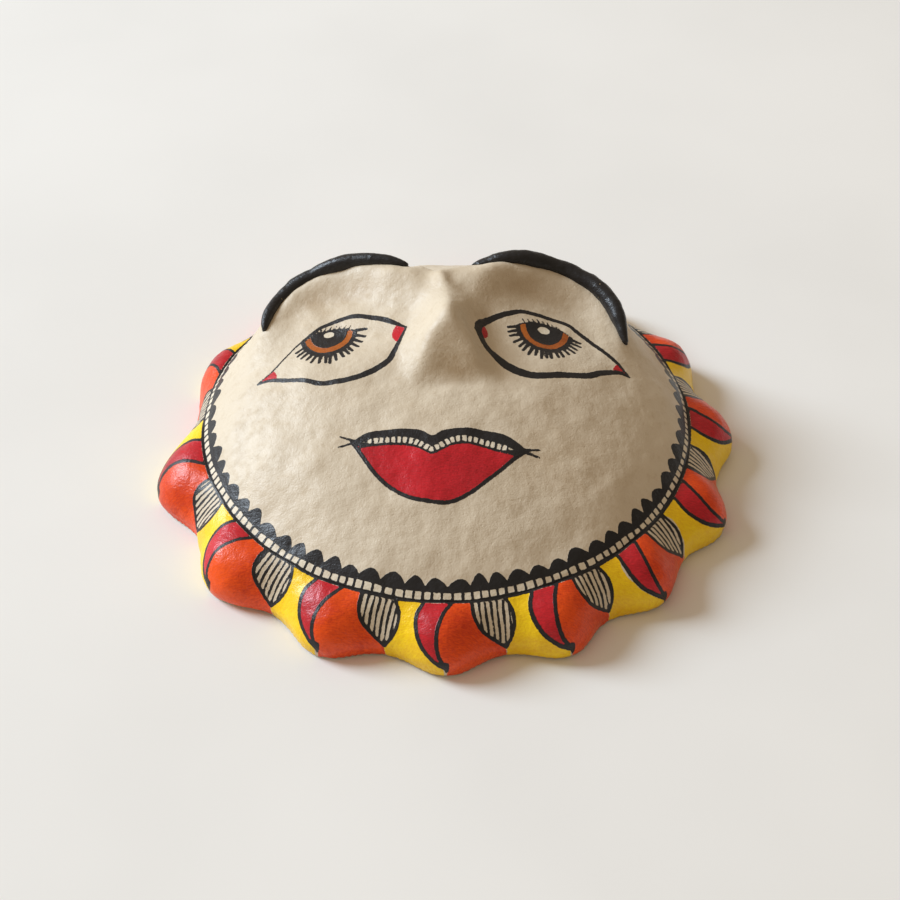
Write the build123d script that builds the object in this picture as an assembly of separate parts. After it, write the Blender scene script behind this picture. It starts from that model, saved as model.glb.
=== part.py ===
from build123d import *
import math
import os

# A sun-face wall mask of papier-mache, lying on its back.
#
# The face is a bowl of pulp, lined inside with pasted paper. Fourteen hand-pressed rays of pulp stand round its
# edge, tied together by a paper strip inside the seam and a flat one under their feet. A nose and two rolled
# brows are laid on the front. A bent wire swings in two lumps of pulp at the back, and hangs on a nail.
#
# Frame: millimetres, +Z out of the face, +Y from chin to forehead, origin on the back plane under the middle of
# the face.

# Driving dimensions of the face bowl
seam_radius = 94.0        # where the bowl meets the rays
seam_height = 20.0        # the seam's height above the back plane
crown_rise = 35.0         # the bowl's rise above the seam at its middle
forehead_lean = 0.5       # how much fuller the forehead is than the chin
chin_round = 0.55         # share of the bowl's fall that is a plain parabola, from the chin to the nose
forehead_round = 1.0      # and at the forehead
forehead_y = 60.0         # where the forehead's share is reached
profile_end = 1.04        # past this share of the seam radius the surface runs on straight
pulp_wall = 3.5           # thickness of the bowl
lining_wall = 0.8         # thickness of the pasted paper layers
fit_gap = 0.1             # play between pieces that are pressed together

# Brow ridge and eye hollows, one of each on either side of the nose
face_shift = -2.5         # the features were modelled this far to one side of the rim's middle
eye_x = 41.0
eye_y = 17.0
ridge_radii = (33.0, 31.0)          # left and right
ridge_rises = (13.2, 12.4)
ridge_inner_drops = (0.22, 0.1)     # share of its rise that a ridge loses on its way to the nose
ridge_width = 10.0
ridge_start_y = 4.0       # the ridge grows from this height on the face at the temples
ridge_inner_y = 17.0      # from this one beside the nose
ridge_inner_run = 25.0    # going from the one to the other over this width
ridge_full_y = 42.0       # and is full from this one
hollow_depth = 3.0
hollow_half_x = 24.0
hollow_half_y = 12.0
hollow_y = 14.0

# Nose, from the forehead down: each slice's middle (x, y), its crown's height, its half-width and the half-width
# of its flattened crown
nose_slices = ((-2.2, 50.0, 55.0, 12.0, 5.0), (-2.2, 39.0, 63.5, 13.0, 4.0), (-0.5, 27.0, 66.5, 13.0, 0.0),
               (0.8, 14.0, 68.7, 16.0, 0.5), (0.3, 3.0, 69.6, 17.5, 1.5), (1.0, -4.5, 63.6, 18.5, 6.5),
               (1.5, -10.0, 56.4, 18.5, 9.5), (1.5, -15.5, 49.0, 18.0, 11.0))
nose_root = 8.0           # how far a slice goes down under the bowl
nose_spread = 1.25        # and how far out there, as a share of its half-width
flank_low = (0.55, 0.40)  # two points of a flank: shares of the way out from the crown, and of the rise
flank_high = (0.20, 0.84)

# Brows, from the nose outwards: the crest of the ridge under the roll, and the roll's radius
brow_left_path = ((-15.0, 43.5, 1.3), (-22.5, 46.5, 2.4), (-33.0, 49.5, 2.8), (-46.0, 51.0, 3.1),
                  (-57.5, 48.5, 3.2), (-66.0, 41.0, 2.9), (-70.0, 32.5, 2.1), (-71.0, 25.5, 0.9))
brow_right_path = ((9.5, 45.0, 1.5), (16.0, 47.5, 2.8), (29.0, 49.0, 3.3), (41.0, 49.5, 3.4),
                   (52.5, 46.5, 3.5), (62.0, 38.0, 3.3), (67.0, 27.5, 2.6), (69.5, 17.5, 1.0))
brow_forward = 0.3        # how far down the face a roll lies from the crest, as a share of its radius
brow_lift = 0.6           # and how far above it

# Rays, counter-clockwise from the chin: degrees from each tip to the next, how far each tip comes out, how far
# its back swells up over the valleys, and how far out the valley after it comes
ray_widths = (23.5, 21.5, 23.0, 25.0, 24.0, 25.8, 25.8, 25.8, 25.8, 25.8, 36.5, 28.0, 25.5, 24.0)
ray_reaches = (113.3, 113.5, 112.3, 114.0, 113.6, 111.5, 112.0, 114.2, 114.2, 111.0, 107.0, 114.2, 114.3, 113.8)
ray_swells = (3.6, 3.6, 3.6, 3.6, 3.6, 3.6, 2.4, 0.8, 0.8, 2.4, 3.6, 3.6, 3.6, 3.6)
valley_radii = (105.5, 105.5, 105.5, 105.5, 104.5, 104.0, 104.0, 104.0, 104.0, 103.0, 100.5, 105.0, 105.5, 105.5)
chin_angle = 270.0
shoulder_out = 0.40       # where a slice's shoulder and cheek lie, as shares of its width, and their heights
shoulder_height = 15.6
cheek_out = 0.80
cheek_height = 9.8
cheek_swell = 4.3         # how much higher the cheek is on the tip line
widest_height = 4.6       # height of a slice's outermost point
widest_swell = 1.0
ray_gap = 0.12            # degrees left between two rays
foot_tuck = 1.0           # how far the foot tucks in under the widest point
strip_height = 0.8        # the rays stand on the rim strip

# Rim and seam strips
rim_strip_inner = 94.6
rim_strip_outer = 102.5
seam_strip_inner = 84.0
seam_strip_low = 6.0
lining_radius = seam_strip_inner - fit_gap

# Hanging wire and its two pulp anchors
wire_radius = 1.0
wire_running_gap = 0.05
pivot_y = 70.0
pivot_z = 7.0
pin_inner_x = 48.0        # the wire is straight from here out to its end
pin_outer_x = 57.5
wire_bow = 14.0           # how far the wire's middle bows up from its pivot
bore_end = 0.3            # play past the pin's end
anchor_x = 58.0
anchor_radius = 8.5
anchor_low = 0.4          # anchors are pressed flat here, just clear of the wall behind
anchor_high = 14.5

# Building aids
grid_steps = 40           # spans of the grid that a surface is fitted through
surface_reach = seam_radius + 5.0
block_depth = 260.0       # blocks used for trimming reach this far down


def smooth_step(low, high, value):
    """0 at low, 1 at high, and a smooth change between them."""
    share = min(1.0, max(0.0, (value - low) / (high - low)))
    return share * share * (3.0 - 2.0 * share)


def bowl_share(distance, parabola):
    """The bowl's height as a share of crown_rise: 1 in the middle, 0 at the seam, straight past profile_end."""
    reach = min(distance, profile_end)
    tail = 1.0 - parabola
    share = 1.0 - parabola * reach**2 - tail * reach**6
    slope = -2.0 * parabola * reach - 6.0 * tail * reach**5
    return share + slope * (distance - reach)


def bowl_height(x, y):
    """Height of the plain bowl, with its two eye hollows, above the back plane."""
    parabola = chin_round + (forehead_round - chin_round) * smooth_step(0.0, forehead_y, y)
    fullness = 1.0 + forehead_lean * y / seam_radius
    height = seam_height + crown_rise * fullness * bowl_share(math.hypot(x, y) / seam_radius, parabola)
    for side in (-1, 1):
        across = (x - face_shift - side * eye_x) / hollow_half_x
        up = (y - hollow_y) / hollow_half_y
        height -= hollow_depth * math.exp(-(across**2) - up**2)
    return height


def face_height(x, y):
    """Height of the front surface: the bowl with the brow ridges built up on it."""
    height = bowl_height(x, y)
    fade = smooth_step(1.0, 0.75, math.hypot(x, y) / seam_radius)
    for side, radius, full_rise, drop in zip((-1, 1), ridge_radii, ridge_rises, ridge_inner_drops):
        inward = eye_x - side * (x - face_shift)
        inner = smooth_step(0.0, ridge_inner_run, inward)
        start = ridge_start_y + (ridge_inner_y - ridge_start_y) * inner
        from_eye = math.hypot(inward, y - eye_y)
        ridge = math.exp(-(((from_eye - radius) / ridge_width) ** 2))
        rise = full_rise * (1.0 - drop * inner)
        height += rise * ridge * fade * smooth_step(start, ridge_full_y, y)
    return height


def point_under(height, x, y, depth):
    """The point at a depth under a surface, measured square to it."""
    step = 0.5
    slope_x = (height(x + step, y) - height(x - step, y)) / (2 * step)
    slope_y = (height(x, y + step) - height(x, y - step)) / (2 * step)
    length = math.sqrt(slope_x**2 + slope_y**2 + 1.0)
    return Vector(x + depth * slope_x / length, y + depth * slope_y / length, height(x, y) - depth / length)


def block_under(height, depth):
    """Everything below the surface that lies at a depth under another."""
    spots = [surface_reach * (2.0 * i / grid_steps - 1.0) for i in range(grid_steps + 1)]
    rows = [[point_under(height, x, y, depth) for x in spots] for y in spots]
    surface = Face.make_surface_from_array_of_points(rows, tol=0.02, min_deg=3, max_deg=3)
    return Solid.extrude(surface, Vector(0, 0, -block_depth))


def disc(radius, low, high):
    """An upright cylinder round the origin, from one height to another."""
    return Pos(0, 0, low) * Cylinder(radius, high - low, align=(Align.CENTER, Align.CENTER, Align.MIN))


def make_face_shell(outer, inner):
    """The pulp bowl."""
    return (outer & disc(seam_radius, -5.0, 150.0)) - inner


def make_paper_lining(inner, lined):
    """Newspaper pasted inside the bowl, as far out as the seam strip."""
    return (inner & disc(lining_radius, -5.0, 150.0)) - lined


def make_seam_strip(inner, lined):
    """A paper strip inside, over the joint between the bowl and the rays."""
    wall = seam_radius + fit_gap
    band = disc(wall, seam_strip_low, 60.0) - disc(seam_strip_inner, seam_strip_low - 1.0, 61.0)
    hollow = lined & disc(wall - lining_wall, -5.0, 60.0)
    return (band & inner) - hollow


def ray_section(angle, lobe, reach, swell, valley):
    """One upright slice of a ray, at an angle round the mask. lobe is 1 on the tip line, where the ray comes out
    as far as reach, and 0 in a valley."""
    edge = valley + (reach - valley) * lobe
    start = seam_radius + fit_gap
    width = edge - start
    top = (start, seam_height)
    shoulder = (start + shoulder_out * width, shoulder_height + swell * lobe)
    cheek = (start + cheek_out * width, cheek_height + cheek_swell * lobe)
    widest = (edge, widest_height + widest_swell * lobe)
    foot = (edge - foot_tuck, strip_height)
    heel = (start, strip_height)
    place = Plane(origin=(0, 0, 0), x_dir=(math.cos(angle), math.sin(angle), 0),
                  z_dir=(math.sin(angle), -math.cos(angle), 0))
    with BuildSketch(place) as slice_sketch:
        with BuildLine():
            Spline(top, shoulder, cheek, widest, foot)
            Line(foot, heel)
            Line(heel, top)
        make_face()
    return slice_sketch.sketch.face()


def make_ray(before, tip, after, reach, swell, valleys):
    """One ray of pulp, lofted from valley to valley over its tip. Angles are in degrees."""
    shares = (-1.0, -0.62, -0.28, 0.0, 0.28, 0.62, 1.0)
    sections = []
    for share in shares:
        span = tip - before if share < 0 else after - tip
        angle = math.radians(tip + share * span)
        lobe = 0.5 + 0.5 * math.cos(math.pi * share)
        sections.append(ray_section(angle, lobe, reach, swell, valleys[0] if share < 0 else valleys[1]))
    return loft(sections) - disc(seam_radius + fit_gap, -5.0, 60.0)


def make_ray_petals():
    """All the rays, each its own lump."""
    tips = [chin_angle]
    for width in ray_widths[:-1]:
        tips.append(tips[-1] + width)
    rays = []
    for i, tip in enumerate(tips):
        before = tip - ray_widths[i - 1] / 2 + ray_gap / 2
        after = tip + ray_widths[i] / 2 - ray_gap / 2
        valleys = (valley_radii[i - 1], valley_radii[i])
        rays.append(make_ray(before, tip, after, ray_reaches[i], ray_swells[i], valleys))
    return Compound(children=rays)


def make_rim_strip():
    """The flat paper ring that the rays stand on."""
    return disc(rim_strip_outer, 0.0, strip_height) - disc(rim_strip_inner, -1.0, strip_height + 1.0)


def nose_section(x, y, peak, half_width, crown):
    """An upright slice across the nose: a crown at height peak, and hollow flanks that run into the bowl."""
    base = min(face_height(x + side * half_width, y) for side in (-1, 1))
    low = base - nose_root
    rise = peak - base
    flank = half_width - crown
    points = [(crown + out * flank, base + up * rise) for out, up in (flank_low, flank_high)]
    outline = [(nose_spread * half_width, low), (half_width, base)] + points
    left = [(-across, height) for across, height in outline]
    right = list(reversed(outline))
    with BuildSketch(Plane(origin=(x, y, 0), x_dir=(1, 0, 0), z_dir=(0, -1, 0))) as slice_sketch:
        with BuildLine():
            Spline(*left, (0, peak), *right)
            Line(right[-1], left[0])
        make_face()
    return slice_sketch.sketch.face()


def make_nose_form(outer):
    """The wedge of pulp that makes the nose, laid on the bowl."""
    wedge = loft([nose_section(*numbers) for numbers in nose_slices]) - outer
    return max(wedge.solids(), key=lambda solid: solid.volume)


def make_brow(stations, outer, nose):
    """A tapered roll of pulp over one eye, fitted against the nose."""
    centres = [Vector(x, y - brow_forward * radius, face_height(x, y) + brow_lift * radius)
               for x, y, radius in stations]
    rings = []
    for i, (centre, station) in enumerate(zip(centres, stations)):
        ahead = centres[min(i + 1, len(centres) - 1)] - centres[max(i - 1, 0)]
        rings.append(Plane(origin=centre, z_dir=ahead) * Circle(station[2]))
    return loft(rings) - outer - nose


def make_anchor(side, seam_strip):
    """A lump of pulp pressed over one end of the hanging wire."""
    lump = Pos(side * anchor_x, pivot_y, pivot_z) * Sphere(anchor_radius)
    lump = lump & disc(seam_radius + fit_gap, anchor_low, anchor_high)
    bore = Cylinder(wire_radius + wire_running_gap, pin_outer_x - pin_inner_x + bore_end,
                    align=(Align.CENTER, Align.CENTER, Align.MIN))
    return lump - seam_strip - Pos(side * pin_inner_x, pivot_y, pivot_z) * Rot(0, side * 90, 0) * bore


def make_hanging_wire():
    """Galvanised wire with straight ends in the anchors and a bowed middle."""
    ends = [(side * pin_outer_x, pivot_y, pivot_z) for side in (-1, 1)]
    bends = [(side * pin_inner_x, pivot_y, pivot_z) for side in (-1, 1)]
    middle = (0, pivot_y + wire_bow, pivot_z)
    along = (1, 0, 0)
    path = Wire([
        Line(ends[0], bends[0]).edge(),
        Spline(bends[0], middle, bends[1], tangents=(along, along)).edge(),
        Line(bends[1], ends[1]).edge(),
    ])
    return sweep(Plane(origin=ends[0], z_dir=along) * Circle(wire_radius), path=path)


def main():
    os.makedirs("parts", exist_ok=True)
    outer = block_under(face_height, 0.0)
    inner = block_under(bowl_height, pulp_wall)
    lined = block_under(bowl_height, pulp_wall + lining_wall)
    seam_strip = make_seam_strip(inner, lined)
    nose = make_nose_form(outer)
    nodes = {
        "face_shell": make_face_shell(outer, inner),
        "paper_lining": make_paper_lining(inner, lined),
        "seam_strip": seam_strip,
        "ray_petals": make_ray_petals(),
        "rim_strip": make_rim_strip(),
        "nose_form": nose,
        "brow_left": make_brow(brow_left_path, outer, nose),
        "brow_right": make_brow(brow_right_path, outer, nose),
        "wire_anchor_left": make_anchor(-1, seam_strip),
        "wire_anchor_right": make_anchor(1, seam_strip),
        "hanging_wire": make_hanging_wire(),
    }
    for name, shape in nodes.items():
        export_step(shape, f"parts/{name}.step")


main()
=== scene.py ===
import math
import random

import bpy
import numpy as np
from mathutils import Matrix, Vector, noise
from mathutils.bvhtree import BVHTree


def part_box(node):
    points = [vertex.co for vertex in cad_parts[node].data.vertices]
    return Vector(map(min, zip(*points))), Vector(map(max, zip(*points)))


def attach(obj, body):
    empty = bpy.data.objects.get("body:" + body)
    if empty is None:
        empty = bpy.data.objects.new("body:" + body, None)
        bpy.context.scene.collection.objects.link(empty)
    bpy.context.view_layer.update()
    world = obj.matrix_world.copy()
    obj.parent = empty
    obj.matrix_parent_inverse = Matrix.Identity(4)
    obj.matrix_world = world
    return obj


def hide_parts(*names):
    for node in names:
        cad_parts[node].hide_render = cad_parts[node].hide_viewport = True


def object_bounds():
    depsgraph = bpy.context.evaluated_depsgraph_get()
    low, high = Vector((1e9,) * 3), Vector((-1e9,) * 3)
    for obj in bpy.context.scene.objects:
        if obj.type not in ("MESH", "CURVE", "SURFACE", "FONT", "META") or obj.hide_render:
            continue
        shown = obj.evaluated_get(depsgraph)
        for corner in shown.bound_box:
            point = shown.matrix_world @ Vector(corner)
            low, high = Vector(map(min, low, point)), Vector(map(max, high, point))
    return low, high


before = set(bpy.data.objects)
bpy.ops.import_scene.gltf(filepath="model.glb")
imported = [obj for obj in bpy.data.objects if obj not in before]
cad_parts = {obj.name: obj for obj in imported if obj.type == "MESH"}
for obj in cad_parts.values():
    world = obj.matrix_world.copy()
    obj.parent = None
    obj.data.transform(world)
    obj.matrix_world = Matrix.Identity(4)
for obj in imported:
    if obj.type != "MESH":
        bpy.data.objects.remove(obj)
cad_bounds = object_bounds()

MM = 0.001
NOTHING = 99.0            # a paint field's value where that paint is far away
random.seed(7)


# -------------------------------- sampling the CAD solids

def tree_of(*nodes):
    """A ray-casting tree of CAD nodes, in millimetres."""
    points, faces = [], []
    for node in nodes:
        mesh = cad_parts[node].data
        start = len(points)
        points.extend(v.co / MM for v in mesh.vertices)
        faces.extend([start + i for i in p.vertices] for p in mesh.polygons)
    return BVHTree.FromPolygons(points, faces)


def blur(grid, sigma, wrap=False):
    """Gaussian blur of a 2-D array along both axes; sigma in cells. With wrap, only along the first axis,
    whose end joins its start."""
    reach = max(1, int(3 * sigma))
    weights = np.exp(-0.5 * (np.arange(-reach, reach + 1) / sigma) ** 2)
    weights /= weights.sum()
    for axis in (0,) if wrap else (0, 1):
        pad = [(reach, reach) if a == axis else (0, 0) for a in (0, 1)]
        padded = np.pad(grid, pad, mode="wrap" if wrap else "edge")
        size = grid.shape[axis]
        grid = sum(w * np.take(padded, np.arange(i, i + size), axis) for i, w in enumerate(weights))
    return grid


def bilinear(grid, i, j):
    """Reads a grid between its cells."""
    a, b = i.astype(int), j.astype(int)
    u, v = i - a, j - b
    low = grid[a, b] * (1 - v) + grid[a, b + 1] * v
    high = grid[a + 1, b] * (1 - v) + grid[a + 1, b + 1] * v
    return low * (1 - u) + high * u


class HeightMap:
    """Heights over a square round the origin, in millimetres."""

    def __init__(self, half_side, step):
        self.half_side, self.step = half_side, step
        self.count = int(round(2 * half_side / step)) + 1
        self.axis = np.linspace(-half_side, half_side, self.count)
        self.x, self.y = np.meshgrid(self.axis, self.axis, indexing="ij")
        self.z = np.full(self.x.shape, np.nan)

    def cast(self, tree, start, direction):
        """Reads the heights where upright rays from a start height meet a tree. direction is 1 for rays that
        go up and -1 for rays that go down."""
        for i, x in enumerate(self.axis):
            for j, y in enumerate(self.axis):
                hit = tree.ray_cast(Vector((x, y, start)), Vector((0, 0, direction)))[0]
                if hit is not None:
                    self.z[i, j] = hit.z
        return self

    def at(self, x, y):
        """The height at one point or at an array of points."""
        i = np.clip((np.asarray(x) + self.half_side) / self.step, 0, self.count - 1.001)
        j = np.clip((np.asarray(y) + self.half_side) / self.step, 0, self.count - 1.001)
        return bilinear(self.z, i, j)

    def extend(self, radius, run):
        """Carries the surface straight on past a radius, at the slope of its last run."""
        distance = np.hypot(self.x, self.y)
        outside = distance > radius
        scale = radius / np.maximum(distance, 1e-6)
        inner = (radius - run) / np.maximum(distance, 1e-6)
        edge = self.at(self.x * scale, self.y * scale)
        slope = (edge - self.at(self.x * inner, self.y * inner)) / run
        self.z = np.where(outside, edge + slope * (distance - radius), self.z)
        return self


def smooth_step(low, high, value):
    share = np.clip((value - low) / (high - low), 0, 1)
    return share * share * (3 - 2 * share)


def rumple(points, sizes, heights, seed):
    """Fractal unevenness at points in millimetres: one layer of noise per size, each of its own height."""
    shift = Vector((seed * 7.31, seed * 3.17, seed * 5.73))
    total = np.zeros(len(points))
    for size, height in zip(sizes, heights):
        layer = [noise.noise(Vector(p) / size + shift) for p in points]
        total += height * np.array(layer)
    return total


# -------------------------------- building meshes

def link_object(name, data):
    item = bpy.data.objects.new(name, data)
    bpy.context.scene.collection.objects.link(item)
    return item


def smooth_piece(name, mesh):
    mesh.polygons.foreach_set("use_smooth", [True] * len(mesh.polygons))
    return link_object(name, mesh)


def new_piece(name, points, faces):
    """A smooth-shaded object from points in millimetres."""
    mesh = bpy.data.meshes.new(name)
    mesh.from_pydata((np.asarray(points) * MM).tolist(), [], faces)
    mesh.update()
    return smooth_piece(name, mesh)


def add_fields(piece, fields):
    """Stores one number per point for each named field."""
    for name, values in fields.items():
        attribute = piece.data.attributes.new(name, "FLOAT", "POINT")
        attribute.data.foreach_set("value", np.asarray(values, np.float32))


def ring_chain(rings):
    """A skin made of rings round the z axis. Each ring is (radius, count); a radius of 0 is a single point.
    Gives the points' plan positions, the triangles, wound to face up while the radius grows, and the number
    of each ring's first point."""
    starts, plan = [], []
    for radius, count in rings:
        starts.append(len(plan))
        angles = np.arange(count) * 2 * math.pi / count
        plan.extend(zip(radius * np.cos(angles), radius * np.sin(angles)))
    faces = []
    for (first, (_, n)), (second, (_, m)) in zip(zip(starts, rings), zip(starts[1:], rings[1:])):
        i = j = 0
        while i < n or j < m:
            if n > 1 and i < n and (j >= m or (i + 1) * m <= (j + 1) * n):
                faces.append((first + i % n, second + j % m, first + (i + 1) % n))
                i += 1
            elif m > 1 and j < m:
                faces.append((first + i % n, second + j % m, second + (j + 1) % m))
                j += 1
            else:
                break
    return np.array(plan), faces, starts


def ring_sizes(radii, spacing):
    """Rings of the given radii as (radius, count), with points about spacing apart."""
    return [(r, max(1 if r == 0 else 8, int(round(2 * math.pi * r / spacing)))) for r in radii]


def remeshed(node, voxel, drop, name):
    """A copy of a CAD node as one fine even skin. A second copy, drop lower, carries it down into what it
    lies on."""
    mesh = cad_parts[node].data
    points = [v.co.copy() for v in mesh.vertices]
    faces = [list(p.vertices) for p in mesh.polygons]
    count = len(points)
    if drop:
        points += [p - Vector((0, 0, drop * MM)) for p in points]
        faces += [[count + i for i in f] for f in faces]
    blank = bpy.data.meshes.new(name + "_blank")
    blank.from_pydata(points, [], faces)
    carrier = link_object(name + "_blank", blank)
    remesh = carrier.modifiers.new("voxels", "REMESH")
    remesh.mode = "VOXEL"
    remesh.voxel_size = voxel * MM
    soften = carrier.modifiers.new("soften", "SMOOTH")
    soften.iterations = 5
    done = carrier.evaluated_get(bpy.context.evaluated_depsgraph_get())
    final = bpy.data.meshes.new_from_object(done)
    bpy.data.objects.remove(carrier)
    final.name = name
    return smooth_piece(name, final)


def roughen(piece, sizes, heights, seed):
    """Moves each point of a piece along its normal by the unevenness there."""
    mesh = piece.data
    spots = np.array([v.co for v in mesh.vertices]) / MM
    normals = np.array([v.normal for v in mesh.vertices])
    moved = spots + normals * rumple(spots, sizes, heights, seed)[:, None]
    mesh.vertices.foreach_set("co", (moved * MM).ravel())
    mesh.update()


# -------------------------------- brush strokes as signed distances

def curve(points, per_span=10):
    """A smooth line through points of any width, as an array."""
    p = np.array(points, float)
    p = np.vstack([2 * p[0] - p[1], p, 2 * p[-1] - p[-2]])
    t = np.linspace(0, 1, per_span, endpoint=False)[:, None]
    spans = []
    for a, b, c, d in zip(p, p[1:], p[2:], p[3:]):
        spans.append(0.5 * (2 * b + (c - a) * t + (2 * a - 5 * b + 4 * c - d) * t**2
                            + (3 * b - a - 3 * c + d) * t**3))
    return np.vstack(spans + [p[-2][None]])


def stroke_and_run(x, y, line):
    """Signed distance to a brush line whose third column is its half-width, and the length run along the line
    at the nearest spot."""
    best = np.full(x.shape, NOTHING)
    along = np.zeros(x.shape)
    run = 0.0
    for (ax, ay, aw), (bx, by, bw) in zip(line, line[1:]):
        dx, dy = bx - ax, by - ay
        length = math.hypot(dx, dy)
        if length < 1e-9:
            continue
        t = np.clip(((x - ax) * dx + (y - ay) * dy) / length**2, 0, 1)
        away = np.hypot(x - ax - t * dx, y - ay - t * dy) - (aw + (bw - aw) * t)
        closer = away < best
        best = np.where(closer, away, best)
        along = np.where(closer, run + t * length, along)
        run += length
    return best, along


def stroke(x, y, line):
    return stroke_and_run(x, y, line)[0]


def with_width(points, half_width):
    """Points as a brush line of one half-width."""
    return np.column_stack([np.array(points, float)[:, :2], np.full(len(points), half_width)])


def area(x, y, outline):
    """Signed distance to a closed outline, negative inside."""
    inside = np.zeros(x.shape, bool)
    best = np.full(x.shape, NOTHING)
    for (ax, ay), (bx, by) in zip(outline, np.roll(outline, -1, 0)):
        dx, dy = bx - ax, by - ay
        length = max(math.hypot(dx, dy), 1e-9)
        t = np.clip(((x - ax) * dx + (y - ay) * dy) / length**2, 0, 1)
        best = np.minimum(best, np.hypot(x - ax - t * dx, y - ay - t * dy))
        crosses = ((ay > y) != (by > y)) & (x < dx * (y - ay) / (dy if abs(dy) > 1e-12 else 1e-12) + ax)
        inside ^= crosses
    return np.where(inside, -best, best)


class Paint:
    """The paint fields of a skin: for each colour, the signed distance to where it is brushed on."""

    COLOURS = ("line", "red", "orange", "yellow", "brown", "cream")

    def __init__(self, count):
        self.fields = {colour: np.full(count, NOTHING) for colour in self.COLOURS}

    def add(self, colour, where, distance):
        """Brushes on one more shape, given by its signed distance at some of the points."""
        field = self.fields[colour]
        field[where] = np.minimum(field[where], distance)


# -------------------------------- the face skin

SEAM = (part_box("face_shell")[1].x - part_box("face_shell")[0].x) / 2 / MM     # radius where face meets rays
ABOVE, BELOW = 200.0, -50.0      # heights that rays are cast from, clear of the mask
MAP_MARGIN, MAP_STEP = 4.0, 0.5      # how far the height maps reach past the seam, and their cells
BOWL_BLUR = 2.6           # in map cells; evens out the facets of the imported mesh
NOSE_MIDDLE = -0.5        # its x
NOSE_FOOT_BLUR, NOSE_CREST_BLUR = 3.4, 1.1       # in map cells; the foot runs out softly into the cheeks
NOSE_CREST = (1.0, 6.0)   # rise over the bowl from which, and up to which, the nose turns crisp
NOSE_TUCK = 1.8           # how far the nose is hollowed under its tip
TUCK_HALF_WIDTH = 11.0
TUCK_TOP, TUCK_FOOT = (2.0, -4.0), (-21.0, -9.0)     # y over which the hollow starts and runs out
SKIN_STEP = 0.62          # spacing of the skin's points
BAND_REACH, BAND_STEP = 8.5, 0.42      # and near the seam, where the finest painting is
BACK_STEP = 3.0
PULP = (26.0, 11.0, 4.5, 1.6), (1.1, 0.66, 0.19, 0.06), 1      # the same lumps run over face and rays


def face_surface():
    """The front of the face: the bowl and the nose, with the nose's foot drawn out into it."""
    bowl = HeightMap(SEAM + MAP_MARGIN, MAP_STEP).cast(tree_of("face_shell"), ABOVE, -1)
    bowl.extend(SEAM - 0.8, run=2.0)
    bowl.z = blur(bowl.z, BOWL_BLUR)
    nose = HeightMap(SEAM + MAP_MARGIN, MAP_STEP).cast(tree_of("nose_form"), ABOVE, -1)
    rise = np.maximum(np.nan_to_num(nose.z - bowl.z, nan=0.0), 0)
    soft, crisp = blur(rise, NOSE_FOOT_BLUR), blur(rise, NOSE_CREST_BLUR)
    share = smooth_step(*NOSE_CREST, crisp)
    bowl.z = bowl.z + soft * (1 - share) + crisp * share
    tuck = smooth_step(*TUCK_TOP, bowl.y) * smooth_step(*TUCK_FOOT, bowl.y)
    tuck *= np.exp(-((bowl.x - NOSE_MIDDLE) / TUCK_HALF_WIDTH) ** 2)
    bowl.z -= NOSE_TUCK * tuck
    return bowl


def rim_run(surface, rings=189, spokes=361):
    """A polar map of the length over the surface from each point out to the seam, along its radius."""
    radii = np.linspace(0, SEAM, rings)
    angles = np.linspace(0, 2 * math.pi, spokes)
    r, a = np.meshgrid(radii, angles, indexing="ij")
    z = surface.at(r * np.cos(a), r * np.sin(a))
    steps = np.hypot(np.diff(z, axis=0), radii[1] - radii[0])
    run = np.vstack([np.cumsum(steps[::-1], axis=0)[::-1], np.zeros((1, len(angles)))])
    return radii, angles, run


def read_polar(table, x, y):
    """Reads a polar map at points."""
    radii, angles, run = table
    i = np.clip(np.hypot(x, y) / (radii[1] - radii[0]), 0, len(radii) - 1.001)
    j = np.clip(np.arctan2(y, x) % (2 * math.pi) / (angles[1] - angles[0]), 0, len(angles) - 1.001)
    return bilinear(run, i, j)


# Each eye, in millimetres on the face. upper and lower are brush lines of (x, y, half-width) from the outer
# corner to the inner one, and iris is its middle. lid is how far above that the lid cuts it, glint is (x, y,
# half-width, half-height), and lashes is (first angle, last angle, count). inner and outer are the red
# corners as (x, y, radius).
EYES = {
    -1: {
        "upper": [(-72, -1.9, .35), (-65.5, 3.7, .42), (-58, 13.5, .46), (-52, 19, .7), (-46.5, 22.7, .95),
                  (-36.5, 24.5, 1.15), (-26.5, 20.8, 1.2), (-20.6, 17.2, 1.05), (-15.3, 13.4, .45)],
        "lower": [(-72, -1.9, .4), (-66, -2.3, .85), (-52.5, -8, .95), (-45.5, -10.4, 1.1),
                  (-33.5, -9.2, 1.2), (-23, -3.6, 1.25), (-19.4, 2.5, 1.0), (-15.3, 13.4, .45)],
        "iris": (-45.2, 18.5), "lid": 1.2, "glint": (-45.3, 17.2, 2.0, 1.6), "lashes": (209, 353, 16),
        "inner": (-14.3, 10.9, 6.4), "outer": (-72, -1.9, 7.6),
    },
    1: {
        "upper": [(70, 1, .4), (65, 6.8, .85), (59, 12.5, .9), (51, 19.8, .95), (45, 24, .95),
                  (31, 25.3, 1.0), (23.7, 22.4, 1.1), (17, 18.4, 1.3), (12.7, 12.5, 1.45), (12, 8, 1.4)],
        "lower": [(70, 1, .4), (66, 1.6, 1.0), (59.5, -1.4, 1.25), (53, -5.3, 1.4), (43.6, -7.1, 1.45),
                  (35, -9, 1.5), (28.4, -8, 1.65), (22.4, -5.1, 1.7), (17.9, -1.1, 1.55), (14.2, 2.8, 1.4),
                  (12, 8, 1.4)],
        "iris": (37.7, 19.0), "lid": 2.2, "glint": (37.5, 18.1, 2.3, 1.8), "lashes": (187, 346, 18),
        "inner": (10.6, 9.2, 5.2), "outer": (70, 1, 6.6),
    },
}
IRIS_STRETCH = 1.27       # the iris is drawn this much taller than wide, over the slope of the lid
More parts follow.
